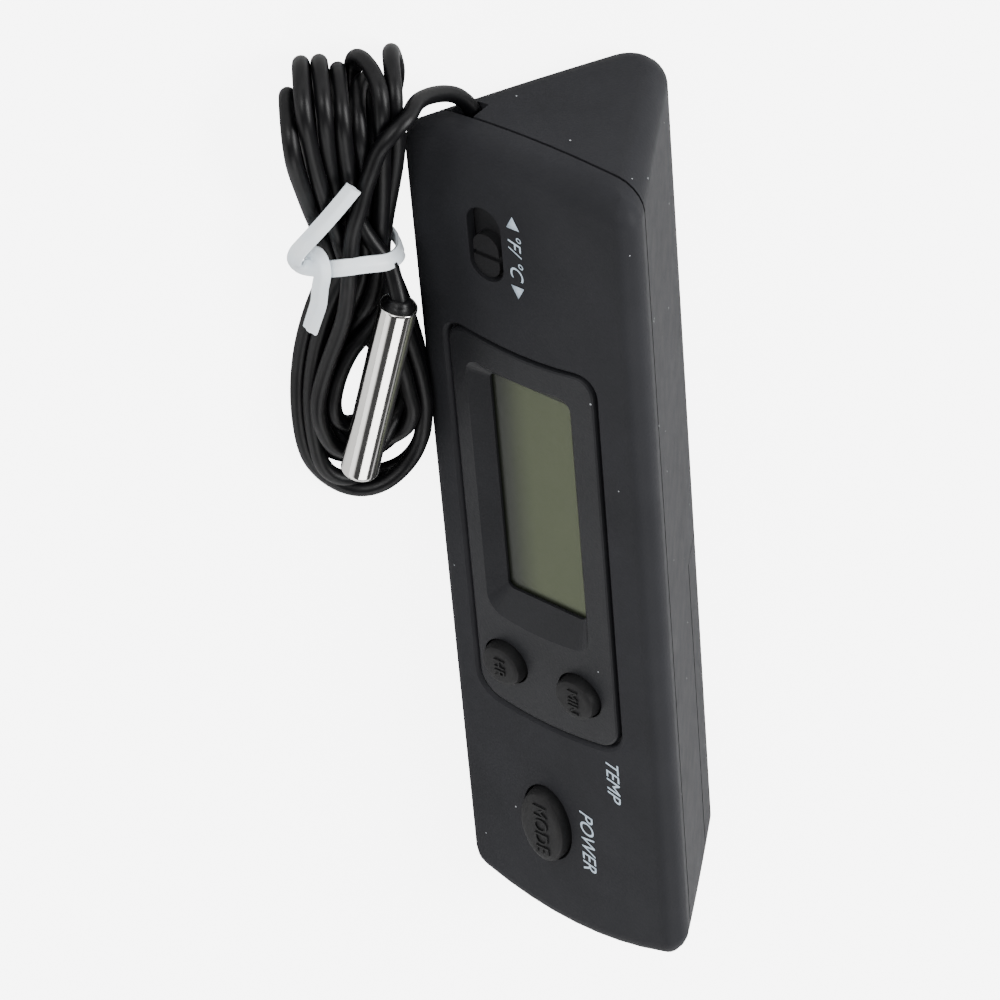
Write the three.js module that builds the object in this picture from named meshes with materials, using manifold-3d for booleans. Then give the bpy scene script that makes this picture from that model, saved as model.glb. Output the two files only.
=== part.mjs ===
// Wedge-shaped digital thermometer with a remote probe on a tied lead.
// Millimetres, +Z up. The case lies on one long side of its three-sided body,
// with its display face tilted up towards -Y and its long axis along X.
import * as THREE from 'three';
import { mergeVertices } from 'three/addons/utils/BufferGeometryUtils.js';
import Module from 'manifold-3d';

const wasm = await Module();
wasm.setup();

// ---- driving dimensions ----
const BODY_LENGTH = 111.3;
const SIDE_DEPTH = 28.8; // display face to the sharp rear edge
const FRONT_EDGE_R = 2.1;
const REAR_EDGE_R = 4.2;
const END_EDGE_R = 2.8;
const LEFT_BULGE_R = 120;
const RIGHT_BULGE_R = 33.6;
const WALL = 1.2;
const SEAM = -4.4; // depth of the joint between the two shells
const GAP = 0.3;
const COVER_X = 8.4;
const COVER_DEPTH = -17.5;
const COVER_END_FIT = 0.4; // the cover's end joint is this fraction of GAP
const PANEL = { x0: -29.4, x1: 23.4, y0: -10.6, y1: 9.0, bow: 1.3, r: 2.6 };
const BEZEL = { x0: -25.9, x1: 10.2, y0: -8.5, y1: 5.83, bow: 0.9, r: 2.2 };
const WINDOW = { x0: -24.6, x1: 5.9, y0: -6.2, y1: 4.7, bow: 0.0, r: 0.8 };
const LCD_DEPTH = -1.2;
const LIP = 0.45; // width of the rounded edge round the panel's opening
const BUTTON_R = 2.78;
const BUTTON_RISE = 1.35;
const BUTTON_X = 16.3;
const HOUR_Y = -6.5;
const MINUTE_Y = 3.9;
const MODE = { x: 39.2, y: -2.5, a: 5.4, b: 3.2 };
const SLOT = { x0: -47.9, x1: -38.5, y: -4.1, w: 4.5 };
const KNOB = { length: 5.4, w: 3.4, y: -4.35, top: -0.35 };
const BOARD_TOP = -6.4;
const BOARD_BOTTOM = -7.6;
const CASE_SCREWS = [[-34.2, -8.8], [27.5, -8.8]];
const BOARD_SCREWS = [[-34.5, 7.0], [29.0, 7.0]];
const CELL = { r: 5.0, x0: 9.0, x1: 51.9, nub: 52.9, n: -16.0 };
const CORD_R = 0.9;
const NOTCH = { y0: -11.1, y1: -8.1, n: -7.1 };
const EXIT = { y: -9.5, n: -5.9 };
const PROBE_R = 2.1;
const PROBE_TOP = new THREE.Vector3(-37.8, -19.3, 9.5);
const PROBE_END = new THREE.Vector3(-15.4, -25.0, 7.1);
const BEAD = { at: 16, length: 4, r: 1.5 };
const SLEEVE = { from: -2.2, to: 4, r: 1.6 };
const TIE = { x0: -43.7, x1: -40.6, y0: -27.2, y1: -15.8, top: 9.2, t: 0.8 };
const HANK_TOP = 6.6;

// ---- frames ----
// Face frame: x along the case, y up the display face, z out of the display face.
const arcY = 0.5 * (SIDE_DEPTH - 2 * REAR_EDGE_R) * Math.sqrt(3) + REAR_EDGE_R;
const frontY = -0.5 * (SIDE_DEPTH / Math.sqrt(3) - Math.sqrt(3) * FRONT_EDGE_R)
  + 0.5 * Math.sqrt(3) * FRONT_EDGE_R - FRONT_EDGE_R;
const faceToWorld = new THREE.Matrix4()
  .makeTranslation(0, -0.5 * (arcY + frontY), 0.5 * SIDE_DEPTH)
  .multiply(new THREE.Matrix4().makeRotationX(Math.PI / 3));

function fromFace(x, y, n) {
  return new THREE.Vector3(x, y, n).applyMatrix4(faceToWorld);
}

// ---- solids ----
function solid(geometry) {
  const plain = geometry.clone();
  plain.deleteAttribute('normal');
  plain.deleteAttribute('uv');
  const merged = mergeVertices(plain, 1e-4);
  const mesh = new wasm.Mesh({
    numProp: 3,
    vertProperties: new Float32Array(merged.attributes.position.array),
    triVerts: new Uint32Array(merged.index.array),
  });
  return new wasm.Manifold(mesh);
}

function geometryOf(body) {
  const mesh = body.getMesh();
  const geometry = new THREE.BufferGeometry();
  geometry.setAttribute('position', new THREE.BufferAttribute(mesh.vertProperties, 3));
  geometry.setIndex(new THREE.BufferAttribute(mesh.triVerts, 1));
  return geometry;
}

function box(x0, x1, y0, y1, n0, n1) {
  const g = new THREE.BoxGeometry(x1 - x0, y1 - y0, n1 - n0);
  g.translate((x0 + x1) / 2, (y0 + y1) / 2, (n0 + n1) / 2);
  return solid(g);
}

function rod(r, x, y, n0, n1, sides = 32) {
  const g = new THREE.CylinderGeometry(r, r, n1 - n0, sides);
  g.rotateX(Math.PI / 2);
  g.translate(x, y, (n0 + n1) / 2);
  return solid(g);
}

function plate(shape, n0, n1, curveSegments = 8) {
  const g = new THREE.ExtrudeGeometry(shape, { depth: n1 - n0, bevelEnabled: false, curveSegments });
  g.translate(0, 0, n0);
  return solid(g);
}

function turned(profile, sides = 40) {
  const points = profile.map(([r, n]) => new THREE.Vector2(r, n));
  const g = new THREE.LatheGeometry(points, sides);
  g.rotateX(Math.PI / 2);
  return g;
}

// Closed skin through rings that all have the same number of points.
function loft(rings) {
  const count = rings[0].length;
  const points = rings.flat();
  const faces = [];
  for (let r = 0; r + 1 < rings.length; r += 1) {
    for (let i = 0; i < count; i += 1) {
      const a = r * count + i;
      const b = r * count + (i + 1) % count;
      faces.push(a, b, a + count, b, b + count, a + count);
    }
  }
  const middle = (ring) => ring.reduce((s, p) => s.map((v, k) => v + p[k] / count), [0, 0, 0]);
  const first = points.push(middle(rings[0])) - 1;
  const last = points.push(middle(rings.at(-1))) - 1;
  const base = (rings.length - 1) * count;
  for (let i = 0; i < count; i += 1) {
    const j = (i + 1) % count;
    faces.push(first, j, i);
    faces.push(last, base + i, base + j);
  }
  if (volume(points, faces) < 0) faces.reverse();
  const g = new THREE.BufferGeometry();
  g.setAttribute('position', new THREE.Float32BufferAttribute(points.flat(), 3));
  g.setIndex(faces);
  return solid(g);
}

function volume(points, faces) {
  let sum = 0;
  for (let i = 0; i < faces.length; i += 3) {
    const [a, b, c] = [0, 1, 2].map((k) => new THREE.Vector3(...points[faces[i + k]]));
    sum += a.dot(b.cross(c));
  }
  return sum;
}

// ---- outlines ----
// The rounded three-sided section, moved in by inset, as [y, n] points.
function section(inset) {
  const w = SIDE_DEPTH / Math.sqrt(3);
  const corners = [
    { y: -w, n: 0, toward: -30, r: FRONT_EDGE_R },
    { y: 0, n: -SIDE_DEPTH, toward: 90, r: REAR_EDGE_R },
    { y: w, n: 0, toward: 210, r: FRONT_EDGE_R },
  ];
  const arcs = corners.map((c) => {
    const r = Math.max(c.r - inset, 0.15);
    const inward = THREE.MathUtils.degToRad(c.toward);
    const reach = 2 * (inset + r);
    const y = c.y + reach * Math.cos(inward);
    const n = c.n + reach * Math.sin(inward);
    const arc = [];
    for (let k = 0; k <= 8; k += 1) {
      const a = inward + Math.PI - Math.PI / 3 + (k / 8) * (2 * Math.PI / 3);
      arc.push([y + r * Math.cos(a), n + r * Math.sin(a)]);
    }
    return arc;
  });
  const outline = [];
  arcs.forEach((arc, i) => {
    outline.push(...arc);
    const from = arc.at(-1);
    const to = arcs[(i + 1) % 3][0];
    for (let k = 1; k < 8; k += 1) {
      outline.push([from[0] + (to[0] - from[0]) * k / 8, from[1] + (to[1] - from[1]) * k / 8]);
    }
  });
  return outline;
}

// The whole case outline as a solid, moved in by inset all over.
function prism(inset) {
  const left = (y) => -BODY_LENGTH / 2 + inset + y * y / (2 * LEFT_BULGE_R);
  const right = (y) => BODY_LENGTH / 2 - inset - y * y / (2 * RIGHT_BULGE_R);
  const r = Math.max(END_EDGE_R - inset, 0.2);
  const shrunk = (s) => section(inset + r).map(([y, n]) => [y * s, -9.6 + (n + 9.6) * s]);
  const ends = [];
  for (const s of [0.3, 0.65]) ends.push({ ring: shrunk(s), back: 0 });
  for (let k = 0; k <= 5; k += 1) {
    const a = (k / 5) * Math.PI / 2;
    ends.push({ ring: section(inset + r * (1 - Math.sin(a))), back: r * (1 - Math.cos(a)) });
  }
  const rings = ends.map((e) => e.ring.map(([y, n]) => [left(y) + e.back, y, n]));
  for (const e of ends.toReversed()) {
    rings.push(e.ring.map(([y, n]) => [right(y) - e.back, y, n]));
  }
  return loft(rings);
}

// A rectangle whose two short sides bow towards +X, grown by extra all round.
function bowed(p, extra = 0) {
  const [x0, x1] = [p.x0 - extra, p.x1 + extra];
  const [y0, y1] = [p.y0 - extra, p.y1 + extra];
  const r = p.r + extra * 0.6;
  const mid = (y0 + y1) / 2;
  const half = (y1 - y0) / 2;
  const bow = (x, y) => x - p.bow * ((y - mid) / half) ** 2;
  const points = [];
  const corner = (cx, cy, from) => {
    for (let k = 0; k <= 6; k += 1) {
      const a = from + (k / 6) * Math.PI / 2;
      const y = cy + r * Math.sin(a);
      points.push([bow(cx + r * Math.cos(a), y), y]);
    }
  };
  const side = (x, ya, yb) => {
    for (let k = 1; k < 6; k += 1) {
      const y = ya + (yb - ya) * k / 6;
      points.push([bow(x, y), y]);
    }
  };
  corner(x1 - r, y1 - r, 0);
  corner(x0 + r, y1 - r, Math.PI / 2);
  side(x0, y1 - r, y0 + r);
  corner(x0 + r, y0 + r, Math.PI);
  corner(x1 - r, y0 + r, 1.5 * Math.PI);
  side(x1, y0 + r, y1 - r);
  return points;
}

function shapeOf(points) {
  return new THREE.Shape(points.map(([x, y]) => new THREE.Vector2(x, y)));
}

function stadium(x0, x1, y, width) {
  const r = width / 2;
  const shape = new THREE.Shape();
  shape.absarc(x1 - r, y, r, -Math.PI / 2, Math.PI / 2);
  shape.absarc(x0 + r, y, r, Math.PI / 2, 1.5 * Math.PI);
  return shape;
}

// ---- case ----
const outer = prism(0);
const inner = prism(WALL);
const FAR = 80;

function frontShell() {
  let s = outer.subtract(box(-FAR, FAR, -FAR, FAR, -FAR, SEAM + GAP / 2)).subtract(inner);
  const tongueRoom = prism(0.55).subtract(box(-FAR, FAR, -FAR, FAR, SEAM + 1.2, FAR));
  s = s.subtract(tongueRoom);
  for (const [x, y] of CASE_SCREWS) s = s.add(rod(2.1, x, y, -6.0, -0.6).intersect(inner.add(s)));
  for (const [x, y] of BOARD_SCREWS) s = s.add(rod(2.0, x, y, BOARD_TOP + 0.1, -0.6));
  for (const [x, y] of CASE_SCREWS) s = s.subtract(rod(0.95, x, y, -FAR, -2.2));
  for (const [x, y] of BOARD_SCREWS) s = s.subtract(rod(0.85, x, y, -FAR, -2.2));
  s = s.subtract(plate(shapeOf(bowed(PANEL, GAP)), -2.2, 1)).subtract(openingLip());
  s = s.subtract(plate(stadium(SLOT.x0, SLOT.x1, SLOT.y, SLOT.w), -3, 1, 12));
  return s.subtract(modeHole());
}

const ringAt = (points, n) => points.map(([x, y]) => [x, y, n]);

// The rounded edge of the opening the display panel sits in.
function openingLip() {
  const rings = [[LIP, 0.05], [LIP * 0.4, -LIP * 0.4], [0.1 * LIP, -LIP * 0.8], [0, -LIP * 1.2]];
  return loft(rings.map(([grow, n]) => ringAt(bowed(PANEL, GAP + grow), n)));
}

function modeHole() {
  const g = new THREE.CylinderGeometry(1, 1, 6, 48);
  g.rotateX(Math.PI / 2);
  g.scale(MODE.a + 0.3, MODE.b + 0.3, 1);
  g.translate(MODE.x, MODE.y, 0);
  return solid(g);
}

function coverZone(grow) {
  return box(COVER_X - grow * COVER_END_FIT, FAR, -FAR, FAR, -FAR, COVER_DEPTH + grow);
}

function rearShell() {
  let s = outer.subtract(box(-FAR, FAR, -FAR, FAR, SEAM - GAP / 2, FAR)).subtract(inner);
  const lipBand = box(-FAR, FAR, -FAR, FAR, SEAM - 1.5, SEAM + 0.9);
  s = s.add(prism(0.85).intersect(lipBand).subtract(prism(1.75)));
  for (const [x, y] of CASE_SCREWS) {
    s = s.add(rod(2.2, x, y, -FAR, -6.3).intersect(prism(0.4)));
  }
  const bulkheads = box(5.6, 6.9, -6.4, 6.4, -19.0, -9.5)
    .add(box(53.3, 54.9, -4.6, 4.6, -17.2, -9.5))
    .add(box(53.3, 54.0, -3.6, 3.6, -18.6, -9.5));
  s = s.subtract(coverZone(GAP / 2)).add(bulkheads.intersect(prism(0.4)));
  for (const [x, y] of CASE_SCREWS) {
    s = s.subtract(rod(1.15, x, y, -FAR, 0)).subtract(rod(1.85, x, y, -FAR, -9.2));
  }
  return s.subtract(box(-FAR, -53.0, NOTCH.y0, NOTCH.y1, NOTCH.n, 0));
}

function batteryCover() {
  const s = outer.subtract(inner).intersect(coverZone(-GAP / 2));
  const strip = box(6.9, 8.95, -2.4, 2.4, -FAR, -20.5);
  const root = box(8.3, 8.95, -2.4, 2.4, -FAR, -20.5).intersect(coverZone(-GAP / 2));
  const behind = prism(WALL + 1.1);
  const tongue = prism(WALL + 0.2).subtract(behind).intersect(strip);
  const joint = prism(WALL - 0.2).subtract(behind).intersect(root);
  return s.add(tongue).add(joint);
}

// ---- display ----
function displayPanel() {
  const edge = [[0, -1.4], [0, -0.35], [-0.08, -0.12], [-0.3, 0]];
  let s = loft(edge.map(([grow, n]) => ringAt(bowed(PANEL, grow), n)));
  s = s.add(plate(shapeOf(bowed(PANEL, 0.9)), -2.6, -1.25));
  s = s.subtract(loft([ringAt(bowed(BEZEL), 0.02), ringAt(bowed(WINDOW), LCD_DEPTH)]));
  s = s.subtract(plate(shapeOf(bowed(WINDOW)), -3, LCD_DEPTH + 0.05));
  s = s.subtract(box(-27.4, 9.1, -8.4, 6.4, -3, LCD_DEPTH - 0.35));
  for (const y of [HOUR_Y, MINUTE_Y]) s = s.subtract(rod(BUTTON_R + 0.25, BUTTON_X, y, -3, 1, 48));
  for (const y of [HOUR_Y, MINUTE_Y]) s = s.subtract(rod(3.9, BUTTON_X, y, -3, -1.3, 48));
  return s;
}

function lcdCell() {
  return box(-27.2, 8.9, -8.2, 6.2, -3.35, LCD_DEPTH - 0.45);
}

function zebraStrip() {
  return box(-23.8, 5.4, 4.3, 5.6, BOARD_TOP + 0.05, -3.4);
}

function lcdHolder() {
  const s = box(-27.2, 8.9, -8.2, 6.2, BOARD_TOP + 0.1, -3.45)
    .subtract(box(-24.8, 6.5, -6.6, 3.6, -8, 0));
  return s.subtract(box(-24.0, 5.6, 4.2, 5.7, -8, 0));
}

// ---- controls ----
function buttonProfile(r) {
  const top = BUTTON_RISE;
  return [
    [0, -3.2], [1.2, -3.2], [1.2, -2.4], [r + 0.75, -2.4], [r + 0.75, -1.55], [r, -1.55],
    [r, 0.15], [r - 0.08, top - 0.5], [r - 0.22, top - 0.2], [r - 0.5, top - 0.04],
    [r - 0.9, top], [0, top],
  ];
}

function roundButton(y) {
  const g = turned(buttonProfile(BUTTON_R));
  g.translate(BUTTON_X, y, 0);
  return g;
}

function modeButton() {
  const g = turned(buttonProfile(MODE.b), 48);
  g.scale(MODE.a / MODE.b, 1, 1);
  g.translate(MODE.x, MODE.y, 0);
  return g;
}

function unitKnob() {
  const x1 = SLOT.x1 - 0.25;
  const x0 = x1 - KNOB.length;
  let s = plate(stadium(x0, x1, KNOB.y, KNOB.w), -1.5, KNOB.top, 12);
  s = s.add(box(x0 - 3.9, x1 + 1.2, SLOT.y - 3.0, SLOT.y + 3.0, -2.3, -1.45));
  s = s.add(box(x1 + 1.0, x1 + 4.0, SLOT.y - 2.45, SLOT.y + 3.0, -2.3, -1.45));
  s = s.subtract(box((x0 + x1) / 2 - 0.3, (x0 + x1) / 2 + 0.3, -FAR, FAR, KNOB.top - 0.45, 1));
  return s.add(box(x0 + 1.7, x1 - 1.7, SLOT.y - 0.6, SLOT.y + 0.6, -3.6, -2.2));
}

function switchBody() {
  const s = box(-49.0, -36.8, SLOT.y - 2.4, SLOT.y + 2.4, BOARD_TOP + 0.1, -2.7);
  return s.subtract(box(-47.6, -38.2, SLOT.y - 1.0, SLOT.y + 1.0, -4.0, 0));
}

function tactSwitch(x, y) {
  return box(x - 2.2, x + 2.2, y - 2.2, y + 2.2, BOARD_TOP + 0.1, -4.5)
    .add(rod(1.0, x, y, -4.7, -4.1));
}

// ---- electronics ----
function circuitBoard() {
  let s = box(-50.5, 46.0, -9.6, 9.6, BOARD_BOTTOM, BOARD_TOP);
  for (const [x, y] of CASE_SCREWS) s = s.subtract(rod(2.6, x, y, -FAR, 0));
  for (const [x, y] of CASE_SCREWS) s = s.subtract(box(x - 2.6, x + 2.6, -FAR, y, -FAR, 0));
  for (const [x, y] of BOARD_SCREWS) s = s.subtract(rod(1.1, x, y, -FAR, 0));
  return s;
}

function chipBlob() {
  const g = turned([[0, -2.0], [2.4, -1.7], [4.2, -0.9], [4.8, 0], [0, 0]], 28);
  g.translate(-12, -0.5, BOARD_BOTTOM - 0.05);
  return g;
}

function crystal() {
  const g = turned([[0, 0], [1.0, 0], [1.0, 5.8], [0.8, 6.0], [0, 6.0]], 20);
  g.rotateY(Math.PI / 2);
  g.translate(-30, 1.5, BOARD_BOTTOM - 1.1);
  return g;
}

function airSensor() {
  const g = turned([[0, -1.1], [0.7, -0.85], [1.1, 0], [0.7, 0.85], [0, 1.1]], 20);
  g.translate(-45.5, 6.5, BOARD_BOTTOM - 1.2);
  return g;
}

function screw(x, y, headTop, shankTop, shankR, headR, headH) {
  const s = rod(headR, x, y, headTop - headH, headTop, 28)
    .add(rod(shankR, x, y, headTop - 0.1, shankTop, 20));
  const a = box(x - headR * 0.6, x + headR * 0.6, y - 0.25, y + 0.25, -FAR, headTop - headH + 0.6);
  const b = box(x - 0.25, x + 0.25, y - headR * 0.6, y + headR * 0.6, -FAR, headTop - headH + 0.6);
  return s.subtract(a).subtract(b);
}

// ---- battery ----
function cell() {
  const { r, x0, x1, nub } = CELL;
  const g = turned([
    [0, 0], [r - 0.9, 0], [r - 0.8, 0.3], [r - 0.1, 0.3], [r, 0.5], [r, x1 - x0 - 0.5],
    [r - 0.5, x1 - x0], [1.9, x1 - x0], [1.9, nub - x0 - 0.2], [1.7, nub - x0], [0, nub - x0],
  ]);
  g.rotateY(Math.PI / 2);
  g.translate(x0, 0, CELL.n);
  return g;
}

function contactSpring() {
  const points = [];
  for (let k = 0; k <= 44; k += 1) {
    const a = (k / 44) * 4 * Math.PI;
    const r = 3.3 - 0.9 * (k / 44);
    const x = 7.62 + 1.02 * (k / 44);
    points.push(new THREE.Vector3(x, r * Math.cos(a), CELL.n + r * Math.sin(a)));
  }
  return sweep(points, 0.22, 6, 88);
}

function sweep(points, r, sides, steps) {
  const shape = new THREE.Shape();
  for (let k = 0; k < sides; k += 1) {
    const a = (k / sides) * 2 * Math.PI;
    if (k === 0) shape.moveTo(r * Math.cos(a), r * Math.sin(a));
    else shape.lineTo(r * Math.cos(a), r * Math.sin(a));
  }
  const path = new THREE.CatmullRomCurve3(points, false, 'centripetal');
  return new THREE.ExtrudeGeometry(shape, { steps, extrudePath: path, bevelEnabled: false });
}

// ---- lead, hank, tie and probe (world frame) ----
function leadTube() {
  const points = [
    fromFace(-52.6, EXIT.y, EXIT.n),
    fromFace(-55.65, EXIT.y, EXIT.n),
    new THREE.Vector3(-57.4, -8.6, 3.6),
    new THREE.Vector3(-58.9, -10.9, 4.7),
    new THREE.Vector3(-60.6, -14.2, 7.0),
    new THREE.Vector3(-61.1, -17.0, 8.9),
    new THREE.Vector3(-60.6, -18.4, 9.5),
    new THREE.Vector3(-58.5, -19.6, 9.6),
    new THREE.Vector3(-55.0, -20.9, 9.3),
    new THREE.Vector3(-51.2, -22.0, 8.7),
    new THREE.Vector3(-47.5, -23.1, 8.2),
    new THREE.Vector3(-45.2, -23.7, 8.1),
  ];
  return sweep(points, CORD_R, 8, 24);
}

function cableClamp() {
  const block = box(-53.6, -51.0, EXIT.y - 1.2, EXIT.y + 1.4, EXIT.n - 1.3, EXIT.n + 1.3);
  const bore = new THREE.CylinderGeometry(CORD_R + 0.1, CORD_R + 0.1, 4, 24);
  bore.rotateZ(Math.PI / 2);
  bore.translate(-54.3, EXIT.y, EXIT.n);
  return block.subtract(solid(bore));
}

function hankOutline() {
  const half = [[-67, 0], [-66.2, 3.2], [-63.5, 5.6], [-58, 6.2], [-50, 5.2], [-42, 4.6],
    [-34, 5.4], [-26, 6.8], [-19, 7.3], [-13, 6.2], [-9.2, 3.6], [-8, 0]];
  const middle = (x) => -21.0 - 1.1 * Math.min(1, (x + 67) / 45);
  const upper = half.map(([x, w]) => [x, middle(x) + w]);
  const lower = half.slice(1, -1).map(([x, w]) => [x, middle(x) - w]).toReversed();
  return shapeOf([...upper, ...lower].toReversed());
}

function hankSolid() {
  let s = plate(hankOutline(), 0.02, HANK_TOP);
  const slope = new THREE.BoxGeometry(60, 40, 10);
  slope.translate(30, 0, 5);
  slope.rotateY(Math.atan2(PROBE_TOP.z - PROBE_END.z, PROBE_END.x - PROBE_TOP.x));
  slope.translate(PROBE_TOP.x, -20, HANK_TOP);
  s = s.subtract(solid(slope));
  return s.subtract(box(TIE.x0 - 0.3, TIE.x1 + 0.3, -FAR, FAR, -1, TIE.t + 0.35));
}

function twistTie() {
  const outside = box(TIE.x0, TIE.x1, TIE.y0, TIE.y1, 0.03, TIE.top);
  const inside = box(-FAR, FAR, TIE.y0 + TIE.t, TIE.y1 - TIE.t, 0.05 + TIE.t, TIE.top - TIE.t);
  const upper = tail([-43.2, -26.6, 7.9], [-53.0, -23.6, 9.6]);
  const lower = tail([-42.0, -27.7, 6.4], [-33.0, -30.2, 5.0]);
  return outside.subtract(inside).add(upper).add(lower);
}

function tail(from, to) {
  const a = new THREE.Vector3(...from);
  const b = new THREE.Vector3(...to);
  const g = new THREE.BoxGeometry(1.6, 0.8, a.distanceTo(b));
  g.translate(0, 0, a.distanceTo(b) / 2);
  const turn = new THREE.Matrix4().lookAt(b, a, new THREE.Vector3(0, 0, 1)).setPosition(a);
  g.applyMatrix4(turn);
  return solid(g);
}

function alongProbe(profile, sides) {
  const g = new THREE.LatheGeometry(profile.map(([r, z]) => new THREE.Vector2(r, z)), sides);
  const direction = PROBE_END.clone().sub(PROBE_TOP).normalize();
  const turn = new THREE.Quaternion().setFromUnitVectors(new THREE.Vector3(0, 1, 0), direction);
  g.applyQuaternion(turn);
  g.translate(PROBE_TOP.x, PROBE_TOP.y, PROBE_TOP.z);
  return g;
}

function probeCap() {
  const length = PROBE_TOP.distanceTo(PROBE_END);
  const r = PROBE_R;
  return alongProbe([
    [0, length - 0.9], [r - 0.3, length - 0.9], [r - 0.3, 0], [r, 0], [r, length - 0.4],
    [r - 0.08, length - 0.12], [r - 0.35, length], [0, length],
  ], 40);
}

function probeBead() {
  const { at, length, r } = BEAD;
  return alongProbe([
    [0, at - length / 2], [0.8 * r, at - 0.35 * length], [r, at], [0.8 * r, at + 0.35 * length],
    [0, at + length / 2],
  ], 20);
}

function probeSleeve() {
  const { from, to, r } = SLEEVE;
  return alongProbe([
    [0, from], [r - 0.5, from], [r - 0.3, from + 0.3], [r, -0.2], [r, to], [0, to],
  ], 28);
}

// ---- assembly ----
const group = new THREE.Group();

function put(name, part, look, frame = faceToWorld) {
  const raw = part instanceof THREE.BufferGeometry ? part : geometryOf(part);
  const g = raw.clone();
  g.deleteAttribute('normal');
  g.deleteAttribute('uv');
  const closed = mergeVertices(g, 1e-4);
  if (frame) closed.applyMatrix4(frame);
  closed.computeVertexNormals();
  const mesh = new THREE.Mesh(closed, new THREE.MeshStandardMaterial(look));
  mesh.name = name;
  group.add(mesh);
}

const CASE = { color: 0x2b2c2f, roughness: 0.6 };
const RUBBER = { color: 0x1b1b1c, roughness: 0.8 };
const STEEL = { color: 0xc8cacc, roughness: 0.25, metalness: 1 };
const LEAD = { color: 0x17181a, roughness: 0.45 };
const LCD = { color: 0x6a6d55, roughness: 0.3 };

put('front_shell', frontShell(), CASE);
put('rear_shell', rearShell(), CASE);
put('battery_cover', batteryCover(), CASE);
put('display_panel', displayPanel(), CASE);
put('lcd_cell', lcdCell(), LCD);
put('lcd_holder', lcdHolder(), { color: 0xdedfd8, roughness: 0.5 });
put('zebra_strip', zebraStrip(), { color: 0x8a8fa0, roughness: 0.7 });
put('circuit_board', circuitBoard(), { color: 0x1f5a34, roughness: 0.5 });
put('chip_blob', chipBlob(), { color: 0x101010, roughness: 0.35 });
put('clock_crystal', crystal(), STEEL);
put('air_sensor', airSensor(), { color: 0x2a1d12, roughness: 0.4 });
put('hour_button', roundButton(HOUR_Y), RUBBER);
put('minute_button', roundButton(MINUTE_Y), RUBBER);
put('mode_button', modeButton(), RUBBER);
put('hour_switch', tactSwitch(BUTTON_X, HOUR_Y), STEEL);
put('minute_switch', tactSwitch(BUTTON_X, MINUTE_Y), STEEL);
put('mode_switch', tactSwitch(MODE.x, MODE.y), STEEL);
put('unit_knob', unitKnob(), RUBBER);
put('unit_switch', switchBody(), STEEL);
put('battery_cell', cell(), { color: 0x2f6d52, roughness: 0.3 });
put('battery_spring', contactSpring(), STEEL);
put('negative_plate', box(6.95, 7.3, -3.9, 3.9, -18.7, -10.0), STEEL);
put('positive_plate', box(52.95, 53.25, -3.4, 3.4, -18.4, -10.0), STEEL);
CASE_SCREWS.forEach(([x, y], i) => {
  put(`case_screw_${i + 1}`, screw(x, y, -9.25, -2.4, 0.85, 1.6, 1.3), STEEL);
});
BOARD_SCREWS.forEach(([x, y], i) => {
  put(`board_screw_${i + 1}`, screw(x, y, BOARD_BOTTOM - 0.05, -2.5, 0.75, 1.7, 1.1), STEEL);
});
put('cable_clamp', cableClamp(), RUBBER);
put('sensor_lead', leadTube(), LEAD, null);
put('lead_hank', hankSolid(), LEAD, null);
put('twist_tie', twistTie(), { color: 0xe8ecf2, roughness: 0.5 }, null);
put('probe_cap', probeCap(), STEEL, null);
put('probe_bead', probeBead(), LEAD, null);
put('probe_sleeve', probeSleeve(), LEAD, null);

export default group;
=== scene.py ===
import math

import bmesh
import bpy
import numpy as np
from mathutils import Matrix, Vector


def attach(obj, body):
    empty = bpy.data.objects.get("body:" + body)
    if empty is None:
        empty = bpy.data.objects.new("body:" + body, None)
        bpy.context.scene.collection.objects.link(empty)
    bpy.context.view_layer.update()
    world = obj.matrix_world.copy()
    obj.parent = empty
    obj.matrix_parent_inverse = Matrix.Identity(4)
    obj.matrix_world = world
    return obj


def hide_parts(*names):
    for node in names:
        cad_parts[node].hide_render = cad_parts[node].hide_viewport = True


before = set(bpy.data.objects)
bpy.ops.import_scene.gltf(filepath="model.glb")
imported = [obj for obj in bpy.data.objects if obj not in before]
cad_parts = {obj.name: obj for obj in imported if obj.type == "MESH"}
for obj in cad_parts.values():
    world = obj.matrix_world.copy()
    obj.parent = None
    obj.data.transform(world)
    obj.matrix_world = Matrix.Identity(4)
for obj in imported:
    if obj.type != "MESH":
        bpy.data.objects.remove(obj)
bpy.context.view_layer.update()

MM = 0.001

# ---- places shared with the CAD model, in millimetres ----
FACE_ORIGIN = Vector((0, -7.545, 14.4))
FACE_X = Vector((1, 0, 0))
FACE_Y = Vector((0, 0.5, 0.8660254))
FACE_OUT = Vector((0, -0.8660254, 0.5))
CORD_R = 0.9
PROBE_R = 2.1
PROBE_TOP = Vector((-37.8, -19.3, 9.5))
PROBE_END = Vector((-15.4, -25.0, 7.1))
LCD_RIGHT = 5.9
LCD_LOW = 8.2
TIE_X = -42.2
LEAD = [
    (-53.0, -7.19, 3.22),
    (-55.65, -7.19, 3.22),
    (-57.4, -8.6, 3.6),
    (-58.9, -10.9, 4.7),
    (-60.6, -14.2, 7.0),
    (-61.1, -17.0, 8.9),
    (-60.6, -18.4, 9.5),
    (-58.5, -19.6, 9.6),
    (-55.0, -20.9, 9.3),
    (-51.2, -22.0, 8.7),
    (-47.5, -23.1, 8.2),
]


# ---- camera ----
CAMERA_RIGHT = Vector((0.0706, 0.9256, 0.3718))
CAMERA_UP = Vector((-0.7683, 0.2881, -0.5715))
CAMERA_BACK = Vector((-0.6362, -0.2453, 0.7315))
CAMERA_AT = (-346.7, -140.85, 399.4)
CAMERA_LENS = 175.15
SENSOR_WIDTH = 36


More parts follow.
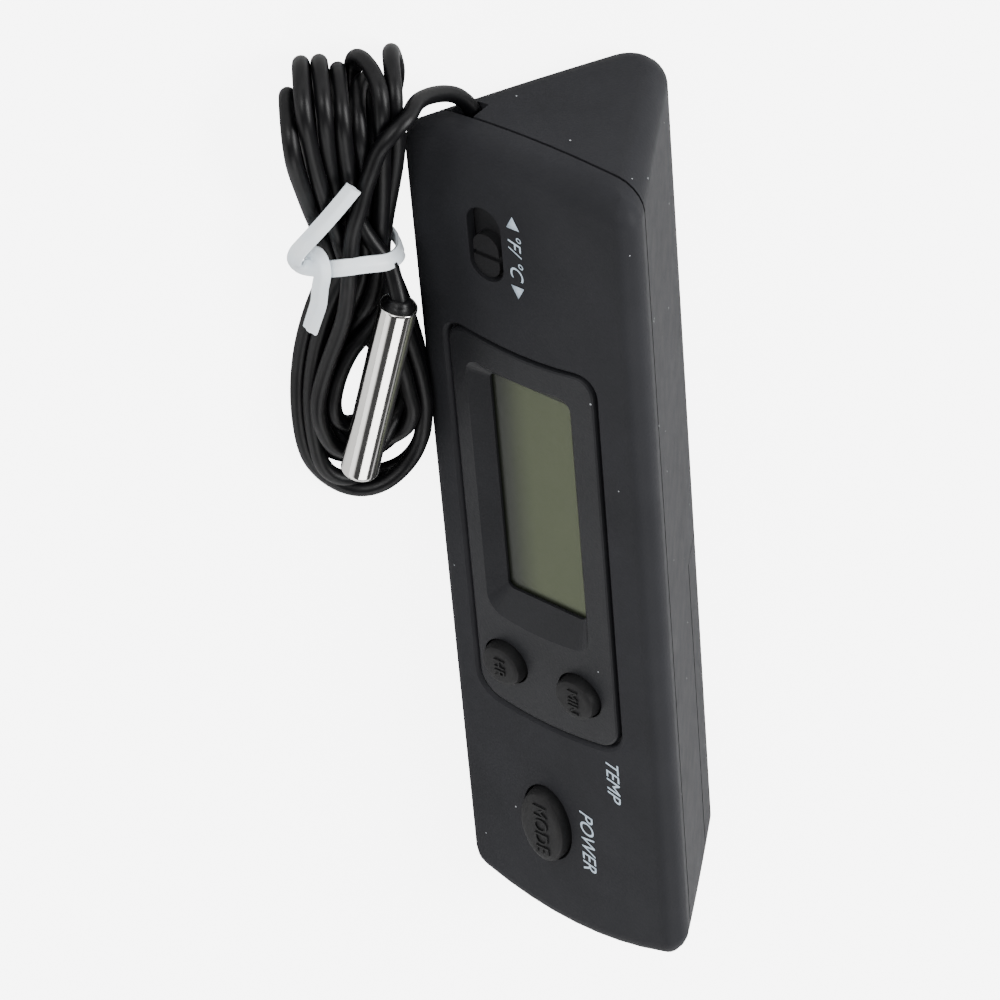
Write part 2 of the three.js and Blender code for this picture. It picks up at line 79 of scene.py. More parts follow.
def axes_matrix(x, y, z, at):
    """A frame with the given axes, with its origin at a point in metres."""
    return Matrix(
        (
            (x.x, y.x, z.x, at[0]),
            (x.y, y.y, z.y, at[1]),
            (x.z, y.z, z.z, at[2]),
            (0, 0, 0, 1),
        )
    )


def make_camera():
    """The view from above the left-hand end, rolled so that this end is at the top."""
    data = bpy.data.cameras.new("camera")
    data.sensor_width = SENSOR_WIDTH
    data.lens = CAMERA_LENS
    camera = bpy.data.objects.new("camera", data)
    bpy.context.scene.collection.objects.link(camera)
    at = [v * MM for v in CAMERA_AT]
    camera.matrix_world = axes_matrix(CAMERA_RIGHT, CAMERA_UP, CAMERA_BACK, at)
    bpy.context.scene.camera = camera


# ---- materials ----
DUST_COLOR = (0.4, 0.42, 0.44)
DUST_CELLS = 260
SPECK_SIZE = 0.03
# Painted shade of the bezel on the display: its colour, how far it reaches in from the right-hand
# edge, and where it fades out above the lower edge.
SHADE_COLOR = (0.010, 0.012, 0.008)
SHADE_RIGHT = 1.1
SHADE_LOW = (0.2, 4.2)


class Nodes:
    """A node material under construction."""

    def __init__(self, name):
        self.material = bpy.data.materials.new(name)
        self.material.use_nodes = True
        self.tree = self.material.node_tree
        self.shader = self.tree.nodes["Principled BSDF"]
        self.place = self.add("ShaderNodeTexCoord").outputs["Object"]

    def add(self, kind, **values):
        node = self.tree.nodes.new(kind)
        for key, value in values.items():
            setattr(node, key, value)
        return node

    def link(self, source, target):
        self.tree.links.new(source, target)

    def set(self, **values):
        for key, value in values.items():
            self.shader.inputs[key.replace("_", " ")].default_value = value

    def noise(self, scale, detail=2.0):
        node = self.add("ShaderNodeTexNoise")
        node.inputs["Scale"].default_value = scale
        node.inputs["Detail"].default_value = detail
        self.link(self.place, node.inputs["Vector"])
        return node.outputs["Fac"]

    def ramp(self, source, stops):
        node = self.add("ShaderNodeValToRGB")
        elements = node.color_ramp.elements
        while len(elements) < len(stops):
            elements.new(0.5)
        for element, (position, color) in zip(elements, stops):
            element.position = position
            element.color = (*color, 1)
        self.link(source, node.inputs["Fac"])
        return node.outputs["Color"]

    def span(self, source, low, high):
        node = self.add("ShaderNodeMapRange")
        node.inputs["To Min"].default_value = low
        node.inputs["To Max"].default_value = high
        self.link(source, node.inputs["Value"])
        return node.outputs["Result"]

    def ease(self, source, start, end):
        """0 at start, 1 at end, smooth between."""
        node = self.add("ShaderNodeMapRange", interpolation_type="SMOOTHSTEP")
        node.inputs["From Min"].default_value = start
        node.inputs["From Max"].default_value = end
        self.link(source, node.inputs["Value"])
        return node.outputs["Result"]

    def mix(self, factor, a, b):
        node = self.add("ShaderNodeMix", data_type="RGBA")
        self.link(factor, node.inputs["Factor"])
        for value, key in ((a, "A"), (b, "B")):
            socket = next(s for s in node.inputs if s.name == key and s.type == "RGBA")
            if isinstance(value, tuple):
                socket.default_value = (*value, 1)
            else:
                self.link(value, socket)
        return next(s for s in node.outputs if s.type == "RGBA")

    def math(self, operation, a, b):
        node = self.add("ShaderNodeMath", operation=operation)
        for socket, value in zip(node.inputs, (a, b)):
            if isinstance(value, (int, float)):
                socket.default_value = value
            else:
                self.link(value, socket)
        return node.outputs["Value"]

    def bump(self, height, distance, strength=1.0):
        node = self.add("ShaderNodeBump")
        node.inputs["Distance"].default_value = distance
        node.inputs["Strength"].default_value = strength
        self.link(height, node.inputs["Height"])
        self.link(node.outputs["Normal"], self.shader.inputs["Normal"])

    def color(self, source):
        self.link(source, self.shader.inputs["Base Color"])

    def roughness(self, source):
        self.link(source, self.shader.inputs["Roughness"])


def moulded_plastic(name, dark, light, rough, grain, dust=0.0, shine=0.05):
    """Finely grained plastic; dust is the share of cells that hold a speck."""
    n = Nodes(name)
    color = n.ramp(n.noise(90, 3), [(0.3, dark), (0.7, light)])
    if dust:
        cells = n.add("ShaderNodeTexVoronoi")
        cells.inputs["Scale"].default_value = DUST_CELLS
        n.link(n.place, cells.inputs["Vector"])
        near = n.math("LESS_THAN", cells.outputs["Distance"], SPECK_SIZE)
        chosen = n.add("ShaderNodeSeparateColor")
        n.link(cells.outputs["Color"], chosen.inputs["Color"])
        some = n.math("GREATER_THAN", chosen.outputs["Red"], 1 - dust)
        color = n.mix(n.math("MULTIPLY", near, some), color, DUST_COLOR)
    n.color(color)
    n.set(Specular_IOR_Level=shine)
    n.roughness(n.span(n.noise(400, 2), rough - 0.05, rough + 0.05))
    n.bump(n.noise(grain, 2), 0.00004, 0.5)
    return n.material


def rubber():
    """Matt rubber of the keys and of the lettering raised on them."""
    n = Nodes("button_rubber_look")
    n.color(n.ramp(n.noise(150, 2), [(0.3, (0.0065, 0.0065, 0.007)), (0.7, (0.0095, 0.0095, 0.01))]))
    n.set(Specular_IOR_Level=0.2)
    n.roughness(n.span(n.noise(900, 2), 0.5, 0.62))
    n.bump(n.noise(2600, 2), 0.00002, 0.4)
    return n.material


def lcd_glass():
    """Grey-green display, with the bezel's shade painted along its lower and right-hand edges."""
    n = Nodes("lcd_look")
    n.set(Specular_IOR_Level=0.3)
    tone = n.ramp(n.noise(60, 2), [(0.3, (0.049, 0.060, 0.027)), (0.7, (0.056, 0.067, 0.031))])
    split = n.add("ShaderNodeSeparateXYZ")
    n.link(n.place, split.inputs["Vector"])
    # Painted shade: the display is darkened towards its right-hand and lower edges, where the
    # bezel's shadow falls.
    right = n.ease(split.outputs["X"], LCD_RIGHT * MM, (LCD_RIGHT - SHADE_RIGHT) * MM)
    low = n.ease(split.outputs["Z"], *[(LCD_LOW + v) * MM for v in SHADE_LOW])
    lit = n.math("MULTIPLY", right, low)
    n.color(n.mix(lit, SHADE_COLOR, tone))
    n.roughness(n.span(n.noise(700, 2), 0.28, 0.36))
    return n.material


def plain(name, dark, light, rough=(0.4, 0.5), scale=200, metal=0.0, shine=0.5):
    """A surface with slight variation in tone, gloss and height."""
    n = Nodes(name)
    n.set(Metallic=metal, Specular_IOR_Level=shine)
    n.color(n.ramp(n.noise(scale, 3), [(0.3, dark), (0.7, light)]))
    n.roughness(n.span(n.noise(scale * 2.5, 2), *rough))
    n.bump(n.noise(scale * 6, 2), 0.00002, 0.3)
    return n.material


def polished_steel():
    """Polished stainless steel, slightly uneven in tone, gloss and height."""
    n = Nodes("probe_steel_look")
    n.set(Metallic=1.0)
    n.color(n.ramp(n.noise(300, 3), [(0.3, (0.74, 0.72, 0.69)), (0.7, (0.80, 0.79, 0.77))]))
    n.roughness(n.span(n.noise(500, 4), 0.07, 0.14))
    n.bump(n.noise(900, 3), 0.000006, 0.5)
    return n.material


def make_materials():
    """One material for each look, by the names used in NODE_LOOKS and further down."""
    return {
        "case": moulded_plastic(
            "case_look", (0.0180, 0.0184, 0.0206), (0.0228, 0.0232, 0.0260), 0.50, 3200, 0.9
        ),
        "panel": moulded_plastic(
            "panel_look", (0.0128, 0.0132, 0.0149), (0.0168, 0.0172, 0.0194), 0.38, 3600, 0.8, 0.13
        ),
        "knob": moulded_plastic(
            "knob_look", (0.014, 0.014, 0.015), (0.018, 0.018, 0.019), 0.5, 3600
        ),
        "rubber": rubber(),
        "lcd": lcd_glass(),
        "jacket": plain(
            "jacket_look",
            (0.0010, 0.0010, 0.0014),
            (0.0022, 0.0022, 0.0028),
            (0.36, 0.48),
            260,
            shine=0.22,
        ),
        "tie": plain("tie_look", (0.82, 0.90, 0.96), (0.90, 0.95, 0.98), (0.35, 0.5), 350),
        "steel": polished_steel(),
        "print": plain("print_look", (0.42, 0.52, 0.62), (0.50, 0.60, 0.70), (0.45, 0.55), 900),
        "white": plain("holder_look", (0.66, 0.66, 0.62), (0.74, 0.74, 0.70)),
        "silicone": plain("zebra_look", (0.22, 0.24, 0.30), (0.30, 0.32, 0.38), (0.5, 0.6), 1500),
        "board": plain("board_look", (0.02, 0.11, 0.045), (0.035, 0.17, 0.07), (0.3, 0.4), 500),
        "epoxy": plain("epoxy_look", (0.01, 0.01, 0.01), (0.02, 0.02, 0.02), (0.12, 0.25), 300),
        "metal": plain(
            "metal_look", (0.55, 0.55, 0.56), (0.68, 0.68, 0.70), (0.22, 0.35), 400, 1.0
        ),
        "label": plain("label_look", (0.03, 0.15, 0.10), (0.05, 0.21, 0.14), (0.2, 0.3), 120),
    }


NODE_LOOKS = {
    "case": ["front_shell", "rear_shell", "battery_cover"],
    "panel": ["display_panel"],
    "knob": ["unit_knob", "cable_clamp"],
    "rubber": ["hour_button", "minute_button", "mode_button"],
    "lcd": ["lcd_cell"],
    "white": ["lcd_holder"],
    "silicone": ["zebra_strip"],
    "board": ["circuit_board"],
    "epoxy": ["chip_blob", "air_sensor", "probe_bead"],
    "metal": [
        "clock_crystal",
        "case_screw_1",
        "case_screw_2",
        "board_screw_1",
        "board_screw_2",
        "negative_plate",
        "positive_plate",
        "battery_spring",
        "hour_switch",
        "minute_switch",
        "mode_switch",
        "unit_switch",
    ],
    "label": ["battery_cell"],
}


def dress_nodes(looks):
    """Gives each kept CAD node its material and smooth shading."""
    for look, names in NODE_LOOKS.items():
        for name in names:
            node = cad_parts[name]
            node.data.materials.clear()
            node.data.materials.append(looks[look])
            smooth(node, BEZEL_CREASE if name == "display_panel" else CREASE)


# ---- mesh helpers ----
CREASE = 32
BEZEL_CREASE = 9
WELD_DISTANCE = 1e-6
FLATNESS = 90


def smooth(piece, degrees):
    """Smooth shading, broken at edges sharper than the given angle."""
    weld = piece.modifiers.new("weld", "WELD")
    weld.merge_threshold = WELD_DISTANCE
    for polygon in piece.data.polygons:
        polygon.use_smooth = True
    if piece.data.has_custom_normals:
        attribute = piece.data.attributes.get("custom_normal")
        if attribute:
            piece.data.attributes.remove(attribute)
    edges = piece.modifiers.new("edges", "EDGE_SPLIT")
    edges.split_angle = math.radians(degrees)
    flats = piece.modifiers.new("flats", "WEIGHTED_NORMAL")
    flats.weight = FLATNESS


def add_piece(name, data, body, look):
    """A visible piece that moves with a body and belongs to a material slot."""
    piece = bpy.data.objects.new(name, data)
    bpy.context.scene.collection.objects.link(piece)
    piece.data.materials.append(look)
    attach(piece, body)
    return piece


def mesh_of(name, points, faces):
    """A smooth mesh from points in millimetres, with its faces turned outwards."""
    mesh = bpy.data.meshes.new(name)
    mesh.from_pydata([Vector(p) * MM for p in points], [], faces)
    made = bmesh.new()
    made.from_mesh(mesh)
    bmesh.ops.recalc_face_normals(made, faces=made.faces)
    made.to_mesh(mesh)
    made.free()
    for polygon in mesh.polygons:
        polygon.use_smooth = True
    return mesh


def on_face(x, y, out=0.0):
    """A point given along, up and out of the display face."""
    return FACE_ORIGIN + FACE_X * x + FACE_Y * y + FACE_OUT * out


def face_matrix(x, y, out):
    """Places a flat drawing on the display face, millimetres to metres."""
    return axes_matrix(FACE_X, FACE_Y, FACE_OUT, on_face(x, y, out) * MM)


def lathe(name, profile, top, direction, sides=72):
    """Turned skin: profile of (radius, distance along direction) points."""
    across = direction.orthogonal().normalized()
    other = direction.cross(across)
    points = []
    for r, along in profile:
        for k in range(sides):
            a = 2 * math.pi * k / sides
            ring = across * math.cos(a) + other * math.sin(a)
            points.append(top + direction * along + ring * r)
    faces = []
    for i in range(len(profile) - 1):
        for k in range(sides):
            a = i * sides + k
            b = i * sides + (k + 1) % sides
            faces.append((a, b, b + sides, a + sides))
    faces.append(tuple(range(sides)))
    faces.append(tuple(range((len(profile) - 1) * sides, len(profile) * sides)))
    return mesh_of(name, points, faces)


# ---- the sensor lead ----
# The hank: the strands pass under the tie in layers, turn back in an upright fold at the
# left-hand end and go round an open loop at the right-hand end. Each fold has a number,
# 0 to 6 from the front, which also gives its place under the tie.
MIDDLE_Y = -21.7
SLOT_WIDTH = 0.93
LAYER_Z = 1.55
LAYER_RISE = 1.6
HIGH_RISE = 3.2
FOLD_R = 3.8
FOLD_FOOT_Z = 1.0
FOLD_HEIGHT = 1.9 * FOLD_R
FOLD_RUN = (0.3, 0.62, 0.85)
SPREAD_Y = 1.15
SPREAD_Z = 1.3
FOLD_LEANS = [0.32, 0.32, 0.28, 0.32, 0.36, -0.16, 0.3]
FOLD_TIPS = [
    (-63.6, -27.2),
    (-67.0, -25.4),
    (-66.5, -23.4),
    (-65.0, -21.5),
    (-63.0, -19.7),
    (-65.8, -18.5),
    (-65.2, -15.7),
]
# The folds in the order in which the lead makes them.
FOLD_ORDER = [2, 4, 1, 6, 0, 5, 3]
# How far a loop swings out from the middle and how high it lies, by rank, 0 for the
# widest: first on the side that leaves a fold, then on the side that comes back to one.
REACH_NEAR = {
    0: (6.9, 1.0),
    1: (6.0, 2.6),
    2: (5.1, 1.0),
    4: (4.3, 2.6),
    5: (3.7, 1.0),
    6: (3.6, 4.2),
}
REACH_FAR = {
    0: (6.9, 2.4),
    1: (6.0, 4.2),
    2: (5.2, 1.0),
    3: (4.6, 4.2),
    4: (4.3, 2.6),
    5: (3.8, 1.0),
    6: (3.5, 2.6),
}
LEAD_REACH = (5.4, 4.6)
LOOP_ENDS = [-9.0, -10.4, -12.2, -13.4, -14.8, -16.6, -18.6]
LOOP_MIDDLE_Y = MIDDLE_Y - 0.35
TOP_STRAND = (MIDDLE_Y - 2.1, 7.75)
LAST_STRAND = (MIDDLE_Y + 2.4, 8.2)
LOOP_RUN = (0.25, 0.5, 0.75, 1.0)
SWING_SOONER = 1.25
SWING_LATER = 0.45
SEAL_ENTRY = (-0.5, 0.3, 1.2)
STEP = 1.0


def slot_at(order, high):
    """Where a strand passes under the tie: two layers of low runs, two of high."""
    y = MIDDLE_Y + (order - 3) * SLOT_WIDTH
    z = LAYER_Z + LAYER_RISE * (order % 2) + (HIGH_RISE if high else 0)
    return y, z


def fold(order):
    """From the tie along a low run, round an upright fold and back on a high run."""
    tip_x, tip_y = FOLD_TIPS[order]
    lean = FOLD_LEANS[order] * FOLD_R
    low = (tip_y + lean, FOLD_FOOT_Z)
    high = (tip_y - lean, FOLD_FOOT_Z + FOLD_HEIGHT)
    centre_x = tip_x + FOLD_R

    def run(end, slot, parts):
        made = []
        for t in parts:
            y = slot[0] + (end[0] - slot[0]) * min(1, t * SPREAD_Y)
            z = slot[1] + (end[1] - slot[1]) * min(1, t * SPREAD_Z)
            made.append((TIE_X + (centre_x - TIE_X) * t, y, z))
        return made

    bend = []
    for k in range(7):
        a = -math.pi / 2 + math.pi * k / 6
        y = tip_y - lean * math.sin(a)
        z = (low[1] + high[1]) / 2 + (high[1] - low[1]) / 2 * math.sin(a)
        bend.append((centre_x - FOLD_R * math.cos(a), y, z))
    low_run = run(low, slot_at(order, False), FOLD_RUN)
    high_run = run(high, slot_at(order, True), FOLD_RUN[::-1])
    return low_run + bend + high_run


def loop(start, near, far, rank, slot):
    """From the tie round the open right-hand end and back."""
    end_x = LOOP_ENDS[rank]
    late = 1 + SWING_LATER * rank
    r = (near[0] + far[0]) / 2

    def run(at, y, z, parts):
        made = []
        for t in parts:
            swing = math.sin(min(1, t * SWING_SOONER) * math.pi / 2) ** late
            x = TIE_X + (end_x - r - TIE_X) * t
            made.append((x, at[0] + (y - at[0]) * swing, at[1] + (z - at[1]) * swing))
        return made

    bend = []
    for k in range(1, 6):
        a = -math.pi / 2 + math.pi * k / 6
        reach = near[0] if a < 0 else far[0]
        z = near[1] + (far[1] - near[1]) * k / 6
        bend.append((end_x - r + r * math.cos(a), LOOP_MIDDLE_Y + reach * math.sin(a), z))
    out = run(start, LOOP_MIDDLE_Y - near[0], near[1], LOOP_RUN)
    back = run(slot, LOOP_MIDDLE_Y + far[0], far[1], LOOP_RUN[::-1])
    return out + bend + back


def lead_route():
    """The lead, its turns in the hank, and the last run into the probe."""
    points = list(LEAD)
    start = TOP_STRAND
    points.append((TIE_X, *start))
    near = LEAD_REACH
    near_rank = None
    for order in FOLD_ORDER:
        far_rank = 6 - order
        rank = far_rank if near_rank is None else (near_rank + far_rank) // 2
        slot = slot_at(order, False)
        points += loop(start, near, REACH_FAR[far_rank], rank, slot)
        points.append((TIE_X, *slot))
        points += fold(order)
        start = slot_at(order, True)
        if order == FOLD_ORDER[-1]:
            start = LAST_STRAND
        points.append((TIE_X, *start))
        near = REACH_NEAR.get(order)
        near_rank = order
    direction = (PROBE_END - PROBE_TOP).normalized()
    for along in SEAL_ENTRY:
        points.append(tuple(PROBE_TOP + direction * along))
    return points


def evenly(points, step):
    """A smooth curve through the points, as points one step apart."""
    p = np.array(points, float)
    p = np.vstack([2 * p[0] - p[1], p, 2 * p[-1] - p[-2]])
    made = []
    for i in range(1, len(p) - 2):
        a, b, c, d = p[i - 1 : i + 3]
        count = max(2, int(np.linalg.norm(c - b) / 0.25))
        t = np.linspace(0, 1, count, endpoint=False)[:, None]
        bend = (2 * a - 5 * b + 4 * c - d) * t**2 + (3 * b - a - 3 * c + d) * t**3
        made.append(0.5 * (2 * b + (c - a) * t + bend))
    line = np.vstack(made + [p[-2:-1]])
    run = np.r_[0, np.cumsum(np.linalg.norm(np.diff(line, axis=0), axis=1))]
    at = np.linspace(0, run[-1], int(round(run[-1] / step)) + 1)
    return np.stack([np.interp(at, run, line[:, k]) for k in range(3)], 1)


SETTLE_ROUNDS = 160
DROP = 0.015
NEIGHBOURS = 4
CORD_GAP = 2 * CORD_R + 0.04
LEAST_BEND_R = 4.0
BEND_SPANS = (2, 5)
LEAST_HEIGHT = CORD_R + 0.03
CASE_LEFT_X = -56.3
CASE_FRONT_Y = -15.2
CASE_GAP = 1.0
CASE_FREE_POINTS = 8
PROBE_GAP = PROBE_R + CORD_R + 0.05
PROBE_FREE_POINTS = 8
PROBE_AXIS_TRIM = 0.5
TIE_HALF_WIDTH = 0.8
# How much of each fault is put right at a time.
PUSH = 0.5
EVEN_OUT = 0.3
OPEN_BEND = 0.35
RESPACE = 0.4
SPACING_PASSES = 4
PROBE_PUSH = 0.7
PULL_BACK = 0.03


def push_apart(p, apart):
    """Pushes strands apart where they are closer than CORD_GAP."""
    away = p[:, None] - p[None]
    far = np.linalg.norm(away, axis=2)
    push = np.where((far < CORD_GAP) & apart, (CORD_GAP - far) / np.maximum(far, 1e-6), 0)
    count = np.maximum((push > 0).sum(1), 1)[:, None]
    p += PUSH * (away * push[:, :, None]).sum(1) / np.sqrt(count)


def ease_bends(p, chords):
    """Evens the line out and opens every bend whose chord is too short."""
    p[1:-1] += EVEN_OUT * ((p[:-2] + p[2:]) / 2 - p[1:-1])
    for span, chord in chords:
        across = p[2 * span :] - p[: -2 * span]
        width = np.linalg.norm(across, axis=1)
        short = np.where(width < chord, (chord - width) / np.maximum(width, 1e-6), 0)
        ease = OPEN_BEND * short[:, None] * across
        p[: -2 * span] -= ease
        p[2 * span :] += ease


def keep_spacing(p, step):
    """Keeps the points one step apart, so that the lead doesn't stretch."""
    for _ in range(SPACING_PASSES):
        link = p[1:] - p[:-1]
        size = np.linalg.norm(link, axis=1)[:, None]
        fix = RESPACE * link * (size - step) / size
        p[:-1] += fix
        p[1:] -= fix


def clear_case(p, index):
    """Keeps the strands beside the case in front of its display face."""
    out = (p - np.array(FACE_ORIGIN)) @ np.array(FACE_OUT)
    beside = (p[:, 0] > CASE_LEFT_X) & (index > CASE_FREE_POINTS)
    near = beside & (out < CASE_GAP) & (p[:, 1] > CASE_FRONT_Y)
    p[near, 1] -= np.minimum(CASE_GAP - out[near], p[near, 1] - CASE_FRONT_Y)


def clear_probe(p, index):
    """Keeps the strands outside the steel cap, except the end that goes into it."""
    top = np.array(PROBE_TOP)
    probe = np.array(PROBE_END) - top
    length = np.linalg.norm(probe)
    probe = probe / length
    along = np.clip((p - top) @ probe, PROBE_AXIS_TRIM, length - PROBE_AXIS_TRIM)
    off = p - (top + along[:, None] * probe)
    size = np.linalg.norm(off, axis=1)
    hit = (size < PROBE_GAP) & (index < len(p) - PROBE_FREE_POINTS)
    p[hit] += PROBE_PUSH * off[hit] / size[hit][:, None] * (PROBE_GAP - size[hit])[:, None]


def settle(line):
    """Lets the strands drop and push each other apart, and eases tight bends."""
    p = line.copy()
    index = np.arange(len(p))
    apart = np.abs(index[:, None] - index[None]) > NEIGHBOURS
    step = np.linalg.norm(np.diff(line, axis=0), axis=1).mean()
    chords = []
    for span in BEND_SPANS:
        chords.append((span, 2 * LEAST_BEND_R * math.sin(span * step / LEAST_BEND_R)))
    tied = np.abs(p[:, 0] - TIE_X) < TIE_HALF_WIDTH
    for _ in range(SETTLE_ROUNDS):
        p[:, 2] -= DROP
        push_apart(p, apart)
        ease_bends(p, chords)
        keep_spacing(p, step)
        p += PULL_BACK * (line - p)
        p[:, 2] = np.maximum(p[:, 2], LEAST_HEIGHT)
        clear_case(p, index)
        clear_probe(p, index)
        p[tied] = (p[tied] + line[tied]) / 2
        p[:3] = line[:3]
        p[-3:] = line[-3:]
    return p


def make_lead(look):
    """The whole lead as one tube; gives back the piece and its length in metres."""
    line = settle(evenly(lead_route(), STEP))
    curve = bpy.data.curves.new("lead", "CURVE")
    curve.dimensions = "3D"
    curve.bevel_depth = CORD_R * MM
    curve.bevel_resolution = 6
    curve.use_fill_caps = True
    spline = curve.splines.new("NURBS")
    spline.points.add(len(line) - 1)
    for point, at in zip(spline.points, line):
        point.co = (*(at * MM), 1)
    spline.order_u = 3
    spline.use_endpoint_u = True
    spline.resolution_u = 2
    piece = add_piece("probe_lead", curve, "case", look)
    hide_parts("sensor_lead", "lead_hank")
    length = float(np.linalg.norm(np.diff(line, axis=0), axis=1).sum()) * MM
    return piece, length


# ---- the twist tie ----
TIE_ROUTE = [
    (-54.1, -22.8, 9.5),
    (-52.1, -24.5, 9.1),
    (-49.9, -26.3, 8.5),
    (-47.7, -27.9, 7.6),
    (-45.9, -28.9, 6.7),
    (-44.2, -29.0, 5.9),
    (-43.3, -28.1, 5.7),
    (-43.3, -27.0, 6.6),
    (-43.8, -25.9, 8.0),
    (-44.1, -24.4, 8.95),
    (-43.9, -22.3, 9.2),
    (-43.3, -20.0, 9.0),
    (-42.6, -18.2, 7.6),
    (-42.0, -17.2, 5.4),
    (-41.8, -17.1, 2.2),
    (-42.0, -18.6, 0.45),
    (-42.2, -21.7, 0.4),
    (-42.4, -24.8, 0.45),
    (-42.8, -26.7, 2.0),
    (-43.9, -27.2, 4.4),
    (-45.0, -27.0, 6.2),
    (-45.3, -26.8, 7.6),
    (-44.2, -26.9, 8.7),
    (-41.8, -27.2, 8.1),
    (-39.4, -27.3, 7.3),
    (-37.3, -27.7, 6.6),
    (-35.1, -28.2, 5.9),
]
TIE_SECTION = [
    (-0.9, -0.14),
    (-0.82, -0.2),
    (-0.42, -0.22),
    (-0.22, -0.36),
    (0.22, -0.36),
    (0.42, -0.22),
    (0.82, -0.2),
    (0.9, -0.14),
    (0.9, 0.14),
    (0.82, 0.2),
    (0.42, 0.22),
    (0.22, 0.36),
    (-0.22, 0.36),
    (-0.42, 0.22),
    (-0.82, 0.2),
    (-0.9, 0.14),
]
TIE_STEP = 0.35
TIE_CORE_Z = 3.4
TIE_LEAN = Vector((-0.7, -0.2, 0.7))
TIE_LEAN_FROM_Z = 4.0
TIE_LEAN_OVER = 3.0
TIE_CREASE = 50


def smooth_step(t):
    """0 up to 0, 1 from 1 on, smooth between."""
    t = min(1.0, max(0.0, t))
    return t * t * (3 - 2 * t)


def make_tie(look):
    """A flat plastic tie with a wire core, once round the hank and crossed over."""
    line = evenly(TIE_ROUTE, TIE_STEP)
    points = []
    count = len(TIE_SECTION)
    for i, at in enumerate(line):
        ahead = Vector(line[min(i + 1, len(line) - 1)]) - Vector(line[max(i - 1, 0)])
        ahead.normalize()
        out = Vector((0, at[1] - MIDDLE_Y, at[2] - TIE_CORE_Z)).normalized()
        out += TIE_LEAN * smooth_step((at[2] - TIE_LEAN_FROM_Z) / TIE_LEAN_OVER)
        out = (out - ahead * out.dot(ahead)).normalized()
        side = ahead.cross(out)
        for across, thick in TIE_SECTION:
            points.append(Vector(at) + side * across + out * thick)
    faces = []
    for i in range(len(line) - 1):
        for k in range(count):
            a = i * count + k
            b = i * count + (k + 1) % count
            faces.append((a, b, b + count, a + count))
    faces.append(tuple(range(count)))
    faces.append(tuple(range(len(points) - count, len(points))))
    piece = add_piece("tie", mesh_of("tie", points, faces), "case", look)
    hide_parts("twist_tie")
    edges = piece.modifiers.new("edges", "EDGE_SPLIT")
    edges.split_angle = math.radians(TIE_CREASE)
    return piece


# ---- the probe ----
CAP_WALL = 0.25
CAP_ROUND = 0.6


def make_probe(steel, jacket):
    """The steel cap, closed and rounded at its far end, and the seal in its mouth."""
    direction = (PROBE_END - PROBE_TOP).normalized()
    length = (PROBE_END - PROBE_TOP).length
    r = PROBE_R
    bore = r - CAP_WALL
    shell = [(bore, 1.5), (bore, 0.12), (bore + 0.07, 0.02), (r - 0.06, 0.02), (r, 0.12)]
    shell += [(r, 0.3), (r, length - 0.8), (r, length - 0.62)]
    for k in range(1, 8):
        a = math.pi / 2 * k / 7
        in_by = CAP_ROUND * (1 - math.cos(a))
        short_by = CAP_ROUND * (1 - math.sin(a))
        shell.append((r - in_by, length - short_by))
    shell += [(r * 0.4, length), (0.05, length)]
    mesh = lathe("steel_cap", shell, PROBE_TOP, direction)
    cap = add_piece("steel_cap", mesh, "case", steel)
    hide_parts("probe_cap")
    seal = [(0.9, -0.9), (1.1, -0.8), (1.25, -0.4), (1.4, -0.05), (bore - 0.1, 0.1)]
    seal += [(bore - 0.02, 0.2), (bore - 0.02, 1.6), (0.9, 1.8)]
    mesh = lathe("lead_seal", seal, PROBE_TOP, direction)
    sleeve = add_piece("lead_seal", mesh, "case", jacket)
    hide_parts("probe_sleeve")
    return cap, sleeve


# ---- lettering ----
PRINT_OUT = 0.01
PRINT_DEPTH = 0.006
KEY_TEXT_OUT = 1.42
KEY_TEXT_DEPTH = 0.12
SLANT = 0.28
ARROW_LENGTH = 0.8
ARROW_HALF_WIDTH = 0.85
ARROW_Y = -0.1
ARROW_THICK = 0.014


def text_piece(name, words, size, x, y, out, body, look, depth, shear=0.0):
    """Solid lettering that lies on the display face."""
    data = bpy.data.curves.new(name, "FONT")
    data.body = words
    data.size = size * MM
    data.align_x = "CENTER"
    data.align_y = "CENTER"
    data.extrude = depth * MM
    data.shear = shear
    data.resolution_u = 4
    made = bpy.data.objects.new(name, data)
    bpy.context.scene.collection.objects.link(made)
    bpy.context.view_layer.update()
    mesh = bpy.data.meshes.new_from_object(made)
    bpy.data.objects.remove(made)
    mesh.name = name
    mesh.transform(face_matrix(x, y, out))
    mesh.materials.clear()
    return add_piece(name, mesh, body, look)


def make_print(looks):
    """Generic legends printed on the face and raised on the keys."""
    ink = looks["print"]
    legends = (
        ("legend_unit", "°F/ °C", 2.4, -43.4, -0.15),
        ("legend_temp", "TEMP", 2.6, 27.3, 7.7),
        ("legend_power", "POWER", 2.7, 39.2, 3.25),
    )
    for name, words, size, x, y in legends:
        text_piece(
            name, words, size, x, y, PRINT_OUT, "case", ink, PRINT_DEPTH, SLANT
        )
    for name, x, way in (("legend_left", -47.6, -1), ("legend_right", -38.5, 1)):
        tip = ARROW_LENGTH * way
        flat = [(-tip, -ARROW_HALF_WIDTH), (tip, 0.0), (-tip, ARROW_HALF_WIDTH)]
        points = []
        for out in (0.0, ARROW_THICK):
            for a, b in flat:
                points.append(on_face(x + a, ARROW_Y + b, out))
        faces = [(0, 1, 2), (5, 4, 3), (0, 3, 4, 1), (1, 4, 5, 2), (2, 5, 3, 0)]
        add_piece(name, mesh_of(name, points, faces), "case", ink)
    rubber_look = looks["rubber"]
    keys = (
        ("key_hour", "HR", 2.1, 16.3, -6.5, "hour_button"),
        ("key_minute", "MIN", 2.0, 16.3, 3.9, "minute_button"),
        ("key_mode", "MODE", 2.7, 39.2, -2.5, "mode_button"),
    )
    for name, words, size, x, y, body in keys:
        text_piece(
            name, words, size, x, y, KEY_TEXT_OUT, body, rubber_look, KEY_TEXT_DEPTH
        )


